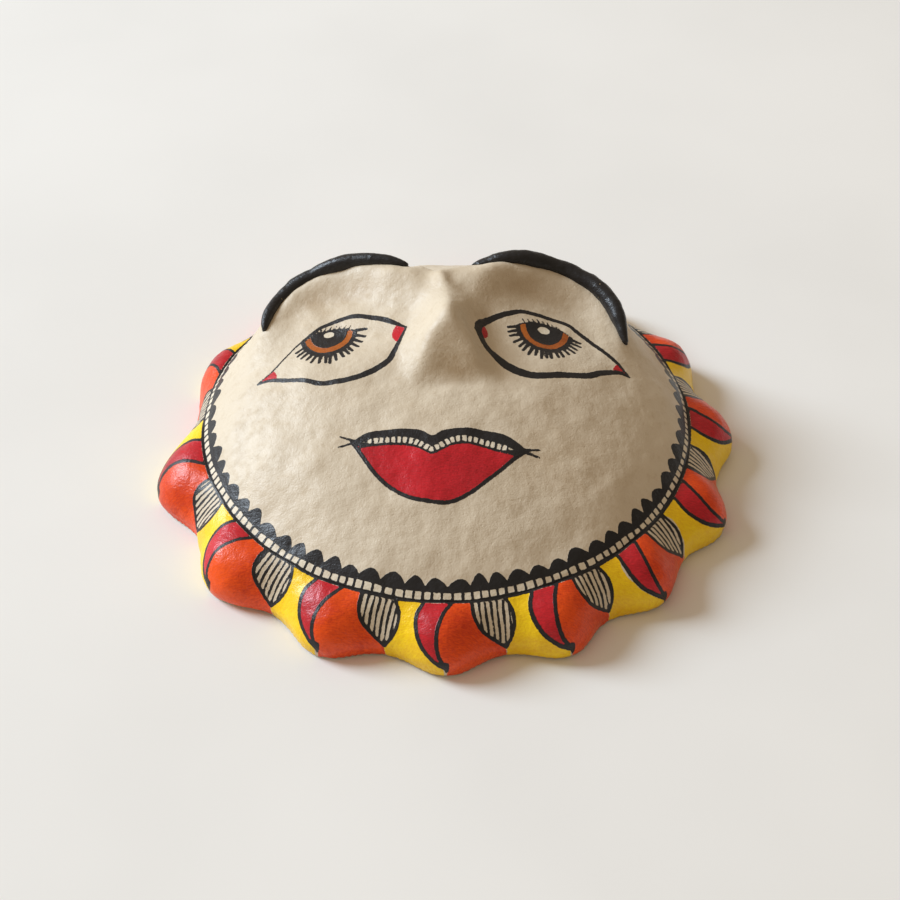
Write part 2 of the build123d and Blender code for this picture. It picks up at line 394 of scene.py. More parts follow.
PUPIL, IRIS, RIM, LASH = 7.2, 9.6, 11.2, 14.5      # radii, the last one to the lashes' tips
OVERLAP = 0.6             # the brown runs this far under the pupil
LID_BEND = 0.028          # how the lid's edge curves over the iris
LID_LINE = 0.3            # half-width of the line along it
LASH_START = 0.94         # the lashes' roots, as a share of the rim's radius
LASH_ROOT, LASH_TIP = 0.78, 0.62      # half-widths
TICKS, TICK_START, TICK_PITCH = 8, -7.5, 1.9      # the short upper lashes along the lid's edge
TICK_ROOT, TICK_TIP = 0.36, 0.26      # half-widths


def eye_lashes(eye, side):
    """The brush lines of one eye's lashes, the long ones round the iris and the short ones on its lid."""
    cx, cy = eye["iris"]
    first, last, count = eye["lashes"]
    for i in range(count):
        angle = math.radians(first + (last - first) * i / (count - 1) + random.uniform(-1.0, 1.0))
        tip = LASH + random.uniform(-0.5, 0.5)
        bend = angle + random.uniform(-0.03, 0.03)
        root = RIM * LASH_START
        yield [(cx + root * math.cos(angle), cy + root * math.sin(angle) * IRIS_STRETCH, LASH_ROOT),
               (cx + tip * math.cos(bend), cy + tip * math.sin(bend) * IRIS_STRETCH, LASH_TIP)]
    for i in range(TICKS):
        out = TICK_START + TICK_PITCH * i
        edge = (eye["lid"] / IRIS_STRETCH - LID_BEND * (out + 1) ** 2 + LID_LINE) * IRIS_STRETCH
        yield [(cx + side * out, cy + edge, TICK_ROOT),
               (cx + side * (out - 0.9), cy + edge + 1.3, TICK_TIP)]


def paint_eye(paint, x, y, side):
    """Paints one eye; side is -1 on the left and 1 on the right."""
    eye = EYES[side]
    where = np.nonzero((side * x > 8) & (side * x < 78) & (y > -16) & (y < 30))[0]
    x, y = x[where], y[where]
    upper, lower = curve(eye["upper"]), curve(eye["lower"])
    paint.add("line", where, stroke(x, y, upper))
    paint.add("line", where, stroke(x, y, lower))
    almond = area(x, y, np.vstack([upper[:, :2], lower[::-1, :2]]))
    for corner in ("inner", "outer"):
        cx, cy, size = eye[corner]
        paint.add("red", where, np.maximum(almond, np.hypot(x - cx, y - cy) - size))
    cx, cy = eye["iris"]
    p, q = side * (x - cx), (y - cy) / IRIS_STRETCH
    reach = np.hypot(p, q)
    lid = (q - eye["lid"] / IRIS_STRETCH + LID_BEND * (p + 1) ** 2) * 1.1
    paint.add("brown", where, np.maximum(np.maximum(reach - IRIS, PUPIL - OVERLAP - reach), lid))
    paint.add("line", where, np.maximum(reach - PUPIL, lid))
    paint.add("line", where, np.maximum(np.maximum(reach - RIM, IRIS - 0.2 - reach), lid - 0.2))
    paint.add("line", where, np.maximum(np.abs(lid) - LID_LINE, reach - RIM))
    gx, gy, half_x, half_y = eye["glint"]
    glint = np.hypot((x - gx) / half_x, (y - gy) / half_y)
    paint.add("cream", where, (glint - 1) * half_y)
    for lash in eye_lashes(eye, side):
        paint.add("line", where, stroke(x, y, lash))


# The mouth's outlines and the middle of its row of teeth, as (x, y) from left to right
LIP_TOP = [(-34.5, -36.8), (-29, -33.9), (-21.3, -33.2), (-12.5, -33.6), (-8.4, -34.7), (-4.9, -36.8),
           (-.7, -34.5), (7, -33.5), (14.7, -34.1), (22.4, -36), (29.7, -40.9)]
LIP_BOTTOM = [(-34.5, -36.8), (-31, -42.3), (-26.6, -49.1), (-20.9, -54.9), (-13.3, -59.9), (-5.7, -61.7),
              (1.4, -61.8), (9.5, -57.9), (17.1, -51.5), (24.9, -44.4), (29.7, -40.9)]
LIP_TEETH = [(-31.2, -37.7), (-26.3, -37.5), (-21.2, -37.5), (-15.5, -37.8), (-11.4, -38.8),
             (-7.9, -40.7), (-5, -42.2), (-1.8, -40.6), (1.9, -38.6), (7, -37.8), (12.1, -38.4),
             (17.3, -39.6), (25.2, -41.5)]
# The short strokes at the mouth's corners, from (x, y) to (x, y)
WHISKERS = (((-33, -36.9), (-39, -34.3)), ((-33, -37.1), (-39.6, -38.6)),
            ((28.5, -41), (34.2, -40.2)), ((28.5, -41.5), (34, -43.0)))
WHISKER_ROOT, WHISKER_TIP = 0.6, 0.34      # half-widths
TOOTH_PITCH, TOOTH_HALF = 2.15, 0.68
TOOTH_HIGH = 1.12         # half-height of the teeth
TEETH_TAPER = 5.0         # the length over which it shrinks to nothing at each corner
LIP_LINE, TEETH_LINE = 0.75, 0.42      # half-widths of the line below the lip and of the one below the teeth
TEETH_LINE_DROP = 1.75    # how far that one lies below the middle of the teeth


def paint_lips(paint, x, y):
    """Paints the mouth: a black upper lip with the teeth in it, and a red lower lip."""
    where = np.nonzero((np.abs(x + 2) < 46) & (y > -68) & (y < -28))[0]
    x, y = x[where], y[where]
    top, bottom, teeth = curve(LIP_TOP), curve(LIP_BOTTOM), curve(LIP_TEETH)
    under = teeth - [0, TEETH_LINE_DROP]
    lips = area(x, y, np.vstack([top, bottom[::-1]]))
    above = area(x, y, np.vstack([top, under[::-1]]))
    paint.add("line", where, above)
    paint.add("line", where, stroke(x, y, with_width(bottom, LIP_LINE)))
    paint.add("line", where, stroke(x, y, with_width(under, TEETH_LINE)))
    paint.add("red", where, np.maximum(lips, -above))
    row, run = stroke_and_run(x, y, with_width(teeth, 0.0))
    share = run / TOOTH_PITCH + 0.05 * np.sin(run * 0.9)
    tooth = np.abs(share % 1 - 0.5) * TOOTH_PITCH - TOOTH_HALF - 0.07 * np.sin(run * 1.3)
    high = TOOTH_HIGH * smooth_step(0.0, TEETH_TAPER, run) * smooth_step(0.0, TEETH_TAPER, run.max() - run)
    paint.add("cream", where, np.maximum(row - high, tooth))
    for root, tip in WHISKERS:
        paint.add("line", where, stroke(x, y, [(*root, WHISKER_ROOT), (*tip, WHISKER_TIP)]))


# The band round the face, by length over the surface inward from the seam: a line, a row of squares, a black
# stripe and its scallops
BAND_LINE, BAND_SQUARES, BAND_BLACK, SCALLOP = 0.5, 3.0, 5.6, 3.4
BAND_WIDTH = 14.0         # covers all of it
SQUARES, SCALLOPS = 170, 74
SQUARE_GAP = 0.3          # the share of the pitch between two squares
RIGHT_SQUEEZE = 0.22      # the squares are this much lower on the right


def sway(turn, *waves):
    """A sum of sines round the face, each given as (height, waves per turn, phase)."""
    return sum(height * np.sin(2 * math.pi * count * turn + phase) for height, count, phase in waves)


def paint_band(paint, x, y, run):
    """Paints the band. run is the length over the surface from each point out to the seam."""
    where = np.nonzero(run < BAND_WIDTH)[0]
    run = run[where]
    turn = np.arctan2(y[where], x[where]) / (2 * math.pi)
    wander = sway(turn, (0.35, 9, 0), (0.25, 23, 1))
    high = 1 + sway(turn, (0.16, 17, 0), (0.12, 31, 2))
    wave = np.abs(np.cos(math.pi * (turn * SCALLOPS + 0.28 * wander))) ** 0.85 * SCALLOP * high
    black = run - (BAND_BLACK - 0.5 + wave)
    paint.add("line", where, black * 0.75)
    share = turn * SQUARES + 0.5 * wander
    gap = SQUARE_GAP + sway(turn, (0.06, 41, 0))
    pitch = 2 * math.pi * SEAM / SQUARES
    across = (np.abs(share % 1 - 0.5) - 0.5 * (1 - gap)) * pitch
    middle = (BAND_LINE + BAND_SQUARES) / 2 + 0.12 * wander
    half = (BAND_SQUARES - BAND_LINE) / 2 * (1 - RIGHT_SQUEEZE * np.maximum(0, np.cos(2 * math.pi * turn)))
    half += sway(turn, (0.14, 29, 0))
    paint.add("cream", where, np.maximum(np.abs(run - middle) - half, across))


# Painted shade, with some stains: brown spots that darken the ground in the eye sockets, in the hollows under
# the brows and the nose, and over the shaded right cheek and chin: x, y, half-width, half-height and strength
# of each
SHADE_AND_STAIN_SPOTS = ((-44, 36, 19, 7, 0.8), (33, 36, 22, 7, 0.7), (-50, 20, 8, 10, 0.3), (15, 20, 6, 12, 0.55),
          (-2, -4, 7, 5, 0.7), (5, -9, 8, 5, 0.8), (-20, 2, 7, 6, 0.3), (40, -20, 16, 9, 0.3),
          (48, -45, 22, 16, 0.5))


def make_face(surface):
    """The painted front and the bare back of the face bowl, as one closed skin."""
    back = HeightMap(SEAM + MAP_MARGIN, 2.0).cast(tree_of("face_shell"), BELOW, 1)
    back.extend(SEAM - 3.0, run=3.0)
    plain = SEAM - BAND_REACH
    front_radii = np.linspace(0, plain, int(plain / SKIN_STEP) + 1)
    band_radii = np.linspace(plain, SEAM, int(BAND_REACH / BAND_STEP) + 2)[1:]
    back_radii = np.linspace(SEAM - 0.1, 0, 32)
    rings = ring_sizes(front_radii, SKIN_STEP) + ring_sizes(band_radii, BAND_STEP)
    rings += ring_sizes(back_radii, BACK_STEP)
    plan, faces, starts = ring_chain(rings)
    split = starts[len(front_radii) + len(band_radii)]
    x, y = plan[:, 0], plan[:, 1]
    z = np.where(np.arange(len(plan)) < split, surface.at(x, y), back.at(x, y))
    points = np.column_stack([x, y, z])
    points[:split, 2] += rumple(points[:split], *PULP)
    piece = new_piece("painted_face", points, faces)
    paint = Paint(len(plan))
    front_x, front_y = x[:split], y[:split]
    for side in (-1, 1):
        paint_eye(paint, front_x, front_y, side)
    paint_lips(paint, front_x, front_y)
    paint_band(paint, front_x, front_y, read_polar(rim_run(surface), front_x, front_y))
    # painted shade, with some stains: the ground is browned where shade falls
    shade_and_stain = np.zeros(len(plan))
    for cx, cy, half_x, half_y, strength in SHADE_AND_STAIN_SPOTS:
        shade_and_stain += strength * np.exp(-((x - cx) / half_x) ** 2 - ((y - cy) / half_y) ** 2)
    add_fields(piece, paint.fields | {"shade_and_stain": np.minimum(shade_and_stain, 1)})
    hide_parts("face_shell", "nose_form")
    return piece


# -------------------------------- the collar of rays

COLLAR_ANGLES = 1080
COLLAR_TURN = np.arange(COLLAR_ANGLES) * 2 * math.pi / COLLAR_ANGLES
COLLAR_STEPS = 46         # points down the painted side of one slice
HIDDEN_STEPS = 7          # points along the foot, and again up the inner wall
HEART_OUT, HEART_UP = 4.4, 7.5      # inside each slice, out from the seam and up from the foot
CASTS = np.radians(np.linspace(108, -72, 61))      # the angles above the horizon of the rays cast from there
FOOT_CLEAR, SEAM_CLEAR = 0.25, 0.9      # hits nearer than this to the foot and the seam aren't used


def cast_collar(foot):
    """The outside of the ray solids as (radius, height) for each angle and cast. The gaps between the solids
    are bridged from slice to slice."""
    tree = tree_of("ray_petals")
    hits = np.full((COLLAR_ANGLES, len(CASTS), 2), np.nan)
    for k, angle in enumerate(COLLAR_TURN):
        out = Vector((math.cos(angle), math.sin(angle), 0))
        heart = out * (SEAM + HEART_OUT) + Vector((0, 0, foot + HEART_UP))
        for step, way in enumerate(CASTS):
            hit = tree.ray_cast(heart, out * math.cos(way) + Vector((0, 0, math.sin(way))))[0]
            if hit is not None:
                hits[k, step] = math.hypot(hit.x, hit.y), hit.z
    for part in (0, 1):
        for step in range(len(CASTS)):
            column = hits[:, step, part]
            known = np.nonzero(~np.isnan(column))[0]
            column[:] = np.interp(np.arange(COLLAR_ANGLES), known, column[known], period=COLLAR_ANGLES)
        hits[:, :, part] = blur(hits[:, :, part], 3.0, wrap=True)
    return hits


def collar_slices(surface):
    """For each angle, the collar's slice as points (radius, height): down the outside, along the foot and up
    the inner wall. Also the length run down the outside from the seam to each point."""
    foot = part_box("ray_petals")[0].z / MM
    inner = SEAM + 0.1
    share = np.linspace(0, 1, HIDDEN_STEPS + 1)[1:, None]
    slices, runs = [], []
    for angle, hits in zip(COLLAR_TURN, cast_collar(foot)):
        r, z = hits[(hits[:, 1] > foot + FOOT_CLEAR) & (hits[:, 0] > SEAM + SEAM_CLEAR)].T
        seam_z = float(surface.at(SEAM * math.cos(angle), SEAM * math.sin(angle)))
        end = r[-1] - 0.25
        side_r = np.concatenate([[SEAM - 1.2, SEAM], r, [end]])
        side_z = np.concatenate([[seam_z - 0.6, seam_z - 0.05], z, [foot]])
        run = np.concatenate([[0], np.cumsum(np.hypot(np.diff(side_r), np.diff(side_z)))])
        even = np.linspace(0, run[-1], COLLAR_STEPS)
        side = np.column_stack([np.interp(even, run, side_r), np.interp(even, run, side_z)])
        under = np.hstack([end + (inner - end) * share, np.full_like(share, foot)])
        wall = np.hstack([np.full_like(share, inner), foot + (seam_z - 2.0 - foot) * share])
        slices.append(np.vstack([side, under, wall]))
        runs.append(even - run[1])
    return np.array(slices), np.array(runs)


def ray_tips(slices):
    """The angles of the ray tips: where the collar reaches furthest out."""
    reach = blur(slices[:, :COLLAR_STEPS, 0].max(axis=1)[:, None], 5.0, wrap=True)[:, 0]
    window = COLLAR_ANGLES // 40      # tips lie further apart than this
    tips = []
    for k in range(COLLAR_ANGLES):
        around = [reach[(k + d) % COLLAR_ANGLES] for d in range(-window, window + 1)]
        if reach[k] >= max(around):
            tips.append(COLLAR_TURN[k])
    return np.array(tips)


# One ray's motif as (u, v) points. u runs from the ray's tip at 0 to the next ray's tip at 1, and v from the
# seam at 0 to the widest point at 1 and on to the foot.
RED_OUTER = [(-.2, 0), (-.238, .2), (-.235, .42), (-.19, .66), (-.1, .86), (-.005, 1.0)]
RED_INNER = [(.05, 0), (-.012, .17), (-.058, .38), (-.068, .6), (-.045, .82), (.01, 1.0)]
LEAF_LEFT = [(.235, 0), (.24, .2), (.292, .45), (.39, .67), (.49, .87)]
LEAF_RIGHT = [(.548, 0), (.582, .2), (.582, .42), (.55, .65), (.49, .87)]
SKIRT = [(.49, .87), (.495, 1.0), (.5, 1.6)]
POINT = [(.002, .93, 1.0), (.004, 1.02, .8), (.005, 1.1, .3)]      # the ray's black point, with half-widths
RED_LINES, LEAF_LINE = (0.74, 0.7), 0.65      # half-widths
PAINT_AHEAD = 5.5         # on the left the painting runs up to this many degrees ahead of the lumps
AHEAD_MIDDLE, AHEAD_SPREAD = 165.0, 22.0      # and the angles where it does
COLLAR_LINE = 0.95        # the black line goes on past the seam by this much
COLLAR_MIDDLE = 9.0       # a ray's width is taken this far out from the seam
HATCH_PITCH, HATCH_HALF = 2.35, 0.52


def at_v(line, v):
    """The u of a line where it passes each v."""
    points = np.array(line)
    return np.interp(v, points[:, 1], points[:, 0])


def paint_ray(paint, where, u, v, width, length, seed):
    """Paints one ray. width and length are its size in millimetres; where are the points it may cover."""
    draw = random.Random(seed)
    lean = draw.uniform(-0.012, 0.012)
    swell = draw.uniform(0.94, 1.06)
    x, y = u * width, v * length
    size = np.array([width, length])

    def bent(line):
        """A line of the motif in millimetres, a little different on each ray."""
        moved = [(a * (swell if i else 1) + (lean if 0 < i < len(line) - 1 else 0), b)
                 for i, (a, b) in enumerate(line)]
        return curve(moved, 8) * size

    outer, inner, left, right, skirt = map(bent, (RED_OUTER, RED_INNER, LEAF_LEFT, LEAF_RIGHT, SKIRT))
    leaf = area(x, y, np.vstack([left, right[::-1]]))
    hatch_x = (u - 0.44) * width / (1 - 0.26 * v) + (1.1 + lean * 40) * v + 0.16 * np.sin(v * 7 + seed)
    hatch = np.abs(hatch_x / HATCH_PITCH % 1 - 0.5) * HATCH_PITCH - HATCH_HALF
    hatch += 0.1 * np.sin(v * 9 + np.floor(hatch_x / HATCH_PITCH) * 2.4)
    paint.add("line", where, np.maximum(hatch, leaf))
    for line, half_width in zip((outer, inner, left, right), (*RED_LINES, LEAF_LINE, LEAF_LINE)):
        paint.add("line", where, stroke(x, y, with_width(line, half_width)))
    paint.add("line", where, stroke(x, y, np.array(POINT) * [width, length, 1]))
    paint.add("red", where, area(x, y, np.vstack([outer, inner[::-1]])))
    orange = area(x, y, np.vstack([inner, [(0, SKIRT[-1][1] * length)], skirt[::-1], left[::-1]]))
    paint.add("orange", where, np.maximum(orange, -leaf))


def paint_yellow(paint, where, u, v, width, halo):
    """The yellow between a leaf and the next ray's red, a little short of both so that the ground shows."""
    start = np.where(v < SKIRT[0][1], at_v(LEAF_RIGHT, v), at_v(SKIRT, v)) * width
    end = (1 + at_v(RED_OUTER, v)) * width
    x = u * width
    paint.add("yellow", where, np.maximum(start - x + halo, x - end + halo))


def press_lumps(slices):
    """The collar's points, moved by the same lumps as the face: upright at the seam, and square to the skin
    further out. The hidden sides stay smooth."""
    steps = slices.shape[1]
    r, z = slices[:, :, 0], slices[:, :, 1]
    across, along = np.cos(COLLAR_TURN)[:, None], np.sin(COLLAR_TURN)[:, None]
    points = np.stack([r * across, r * along, z], axis=2)
    lumps = rumple(points.reshape(-1, 3), *PULP).reshape(r.shape)
    lumps[:, :COLLAR_STEPS] *= 1 - smooth_step(0.93, 1.0, np.linspace(0, 1, COLLAR_STEPS))
    lumps[:, COLLAR_STEPS:] = 0
    tangent = np.gradient(slices, axis=1)
    normal = np.stack([-tangent[:, :, 1], tangent[:, :, 0]], axis=2)
    normal /= np.maximum(np.linalg.norm(normal, axis=2, keepdims=True), 1e-6)
    at_seam = 1 - smooth_step(1.0, 6.0, r - SEAM)
    out = normal[:, :, 0] * (1 - at_seam) * lumps
    up = (normal[:, :, 1] * (1 - at_seam) + at_seam) * lumps
    points += np.stack([out * across, out * along, up], axis=2)
    return points.reshape(-1, 3)


def paint_collar(slices, runs):
    """Paints the rays one by one, and carries the band's black line on past the seam."""
    steps = slices.shape[1]
    widest = np.array([run[side.argmax()] for run, side in zip(runs, slices[:, :COLLAR_STEPS, 0])])
    widest = blur(widest[:, None], 6.0, wrap=True)[:, 0] - COLLAR_LINE
    run, v = np.full((2, COLLAR_ANGLES, steps), NOTHING)
    run[:, :COLLAR_STEPS] = runs
    v[:, :COLLAR_STEPS] = (runs - COLLAR_LINE) / widest[:, None]
    run, v, theta = run.ravel(), v.ravel(), np.repeat(COLLAR_TURN, steps)
    on = run < NOTHING
    paint = Paint(len(run))
    paint.add("line", on, run[on] - COLLAR_LINE)
    tips = ray_tips(slices)
    ahead = np.exp(-((np.degrees(tips) - AHEAD_MIDDLE) / AHEAD_SPREAD) ** 2)
    tips += math.radians(PAINT_AHEAD) * ahead
    length = widest.mean()
    for i, tip in enumerate(tips):
        span = (tips[(i + 1) % len(tips)] - tip) % (2 * math.pi)
        span_before = (tip - tips[i - 1]) % (2 * math.pi)
        offset = (theta - tip + math.pi) % (2 * math.pi) - math.pi
        u = np.where(offset >= 0, offset / span, offset / span_before)
        width = (SEAM + COLLAR_MIDDLE) * span
        where = np.nonzero(on & (u > -0.5) & (u < 0.8))[0]
        paint_ray(paint, where, u[where], v[where], width, length, i + 3)
        between = np.nonzero(on & (offset >= 0) & (u <= 1.0))[0]
        halo = 0.28 + 0.22 * np.sin(v[between] * 11 + i)
        paint_yellow(paint, between, u[between], v[between], width, halo)
    return paint


def make_collar(surface):
    """The rays as one painted skin of pulp, closed round the foot and the inner wall."""
    slices, runs = collar_slices(surface)
    steps = slices.shape[1]
    faces = []
    for k in range(COLLAR_ANGLES):
        a, b = k * steps, (k + 1) % COLLAR_ANGLES * steps
        for s in range(steps):
            t = (s + 1) % steps
            faces.append((a + s, a + t, b + t, b + s))
    piece = new_piece("ray_collar", press_lumps(slices), faces)
    paint = paint_collar(slices, runs)
    add_fields(piece, paint.fields | {"shade_and_stain": np.zeros(COLLAR_ANGLES * steps)})
    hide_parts("ray_petals")
    return piece


# -------------------------------- brows, lining, anchors

BROW = {"suffix": "_roll", "voxel": 0.55, "drop": 1.6,
        "lumps": ((11.0, 4.5, 1.8), (0.55, 0.28, 0.1), 5)}
ANCHOR = {"suffix": "_pulp", "voxel": 0.6, "drop": 0,
          "lumps": ((6.0, 2.4, 1.1), (0.4, 0.3, 0.14), 9)}


def make_lump(node, suffix, voxel, drop, lumps):
    """A CAD node of hand-formed pulp as an uneven skin."""
    piece = remeshed(node, voxel, drop, node + suffix)
    roughen(piece, *lumps)
    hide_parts(node)
    return piece


LINING_STEP, LINING_TOP_STEP = 1.1, 4.0      # spacing of the points on its inside, and on its hidden top
LINING_EDGE = 2.5         # heights are carried on straight from this far in, as rays miss at the edge
CREASES = (16.0, 5.0), (0.4, 0.2), 6
TORN_EDGES = (7.0, 2.2), (2.2, 0.8), 4
SCRAPS = 90
SCRAP_THICK = 0.13
SCRAP_HALF_LENGTHS, SCRAP_HALF_WIDTHS = (14, 30), (8, 17)


def make_lining():
    """Torn paper pasted in overlapping scraps over the inside of the bowl, as one closed skin."""
    tree = tree_of("paper_lining")
    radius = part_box("paper_lining")[1].x / MM
    inside, outside = (HeightMap(radius + 2, 1.5).cast(tree, *way).extend(radius - LINING_EDGE, run=3.0)
                       for way in ((BELOW, 1), (ABOVE, -1)))
    under = np.linspace(0, radius, int(radius / LINING_STEP) + 1)
    over = np.linspace(radius - 0.1, 0, 22)
    plan, faces, starts = ring_chain(ring_sizes(under, LINING_STEP) + ring_sizes(over, LINING_TOP_STEP))
    faces = [tuple(reversed(f)) for f in faces]
    split = starts[len(under)]
    x, y = plan[:, 0], plan[:, 1]
    z = np.where(np.arange(len(plan)) < split, inside.at(x, y), outside.at(x, y))
    points = np.column_stack([x, y, z])
    x, y, pasted = x[:split], y[:split], points[:split]
    torn = rumple(pasted, *TORN_EDGES)
    layers, tone = np.zeros(split), np.full(split, 0.5)
    for _ in range(SCRAPS):
        cx, cy = random.uniform(-radius, radius), random.uniform(-radius, radius)
        turn = random.uniform(0, math.pi)
        half_long, half_wide = random.uniform(*SCRAP_HALF_LENGTHS), random.uniform(*SCRAP_HALF_WIDTHS)
        p = (x - cx) * math.cos(turn) + (y - cy) * math.sin(turn)
        q = (y - cy) * math.cos(turn) - (x - cx) * math.sin(turn)
        away = np.maximum(np.abs(p) - half_long, np.abs(q) - half_wide) + torn
        cover = 1 - smooth_step(-0.7, 0.5, away)
        layers += cover * SCRAP_THICK
        tone = tone * (1 - cover) + random.uniform(0, 1) * cover
    fade = 1 - smooth_step(radius - 3, radius, np.hypot(x, y))
    pasted[:, 2] -= (layers - layers.mean() * 0.5) * fade
    pasted[:, 2] += rumple(pasted, *CREASES) * fade
    piece = new_piece("pasted_lining", points, faces)
    add_fields(piece, {"tone": np.concatenate([tone, np.full(len(plan) - split, 0.5)])})
    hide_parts("paper_lining")
    return piece


# -------------------------------- materials

class Nodes:
    """Short calls for building a material's nodes."""

    def __init__(self, name):
        self.material = bpy.data.materials.new(name)
        self.material.use_nodes = True
        self.tree = self.material.node_tree
        self.tree.nodes.clear()
        self.coords = self.tree.nodes.new("ShaderNodeTexCoord").outputs["Object"]

    def put(self, kind, inputs=(), **settings):
        """Adds a node. inputs holds a value or a socket to link for each input, by name or number."""
        node = self.tree.nodes.new("ShaderNode" + kind)
        for key, value in settings.items():
            setattr(node, key, value)
        for key, value in dict(inputs).items():
            if isinstance(value, bpy.types.NodeSocket):
                self.tree.links.new(value, node.inputs[key])
            else:
                node.inputs[key].default_value = value
        return node

    def noise(self, size_mm, detail=2.0, roughness=0.5, vector=None):
        """Noise of a feature size in millimetres, as a number near 0.5."""
        return self.put("TexNoise", {"Vector": vector or self.coords, "Scale": 1 / (size_mm * MM),
                                     "Detail": detail, "Roughness": roughness}).outputs["Fac"]

    def stretched(self, scale, turn=(0, 0, 0)):
        """The object's coordinates, scaled and turned, for streaks."""
        return self.put("Mapping", {"Vector": self.coords, "Rotation": turn, "Scale": scale}).outputs[0]

    def math(self, operation, a, b):
        return self.put("Math", {0: a, 1: b}, operation=operation).outputs[0]

    def weigh(self, *terms):
        """The sum of (value, weight) terms."""
        parts = [self.math("MULTIPLY", value, weight) for value, weight in terms]
        total = parts[0]
        for part in parts[1:]:
            total = self.math("ADD", total, part)
        return total

    def ramp(self, value, low, high, out_low=0.0, out_high=1.0, kind="SMOOTHSTEP"):
        """Takes a value from low..high to out_low..out_high, and holds it at both ends."""
        inputs = {0: value, 1: low, 2: high, 3: out_low, 4: out_high}
        return self.put("MapRange", inputs, interpolation_type=kind).outputs[0]

    def mix(self, share, a, b):
        """Mixes two colours."""
        return self.put("Mix", {0: share, 6: a, 7: b}, data_type="RGBA", clamp_factor=True).outputs[2]

    def mix_value(self, share, a, b):
        return self.put("Mix", {0: share, 2: a, 3: b}, data_type="FLOAT").outputs[0]

    def field(self, name):
        """A number stored per point of the mesh."""
        return self.put("Attribute", attribute_name=name).outputs["Fac"]

    def bump(self, height, distance_mm, below=None):
        """A bump of its own, or one on top of the bump below it."""
        inputs = {"Height": height, "Distance": distance_mm * MM, "Strength": 1.0}
        if below is not None:
            inputs["Normal"] = below
        return self.put("Bump", inputs).outputs["Normal"]

    def finish(self, colour, roughness, more=()):
        """Closes the material with one Principled shader. more holds further inputs by name."""
        shader = self.put("BsdfPrincipled", {"Base Color": colour, "Roughness": roughness} | dict(more))
        self.put("OutputMaterial", {"Surface": shader.outputs[0]})
        return self.material


GROUND, GROUND_DARK, GROUND_PALE = (0.65, 0.555, 0.42, 1), (0.50, 0.39, 0.255, 1), (0.71, 0.63, 0.50, 1)
# the brown of the painted shade and stains
SHADE_AND_STAIN_BROWN = (0.44, 0.32, 0.19, 1)
CREAM = (0.72, 0.64, 0.50, 1)
# the second black is greyer, for wear and painted sheen on the black lines
BLACK, BLACK_WEAR_AND_SHEEN, BLACK_SHEEN = (0.010, 0.010, 0.012, 1), (0.036, 0.035, 0.038, 1), (0.030, 0.033, 0.042, 1)
# Full and thin coats of the other colours, in the order that they are brushed on
COATS = {
    "yellow": ((0.96, 0.66, 0.006, 1), (0.84, 0.48, 0.003, 1)),
    "orange": ((0.89, 0.090, 0.004, 1), (0.60, 0.034, 0.002, 1)),
    "red": ((0.60, 0.012, 0.024, 1), (0.36, 0.005, 0.012, 1)),
    "brown": ((0.46, 0.125, 0.016, 1), (0.28, 0.06, 0.010, 1)),
}
RAW_PULP = (0.50, 0.46, 0.39, 1), (0.33, 0.29, 0.23, 1)
KRAFT = (0.47, 0.33, 0.20, 1), (0.30, 0.19, 0.10, 1)
SCRAP_TONES = (0.56, 0.50, 0.40, 1), (0.34, 0.30, 0.24, 1)
GLUE_STAIN, TORN_FIBRE = (0.24, 0.17, 0.10, 1), (0.66, 0.61, 0.52, 1)
ZINC, ZINC_DULL, RUST = (0.52, 0.53, 0.54, 1), (0.30, 0.29, 0.28, 1), (0.20, 0.09, 0.04, 1)
FLOOR, FLOOR_PATCH = (0.84, 0.83, 0.80, 1), (0.80, 0.79, 0.76, 1)


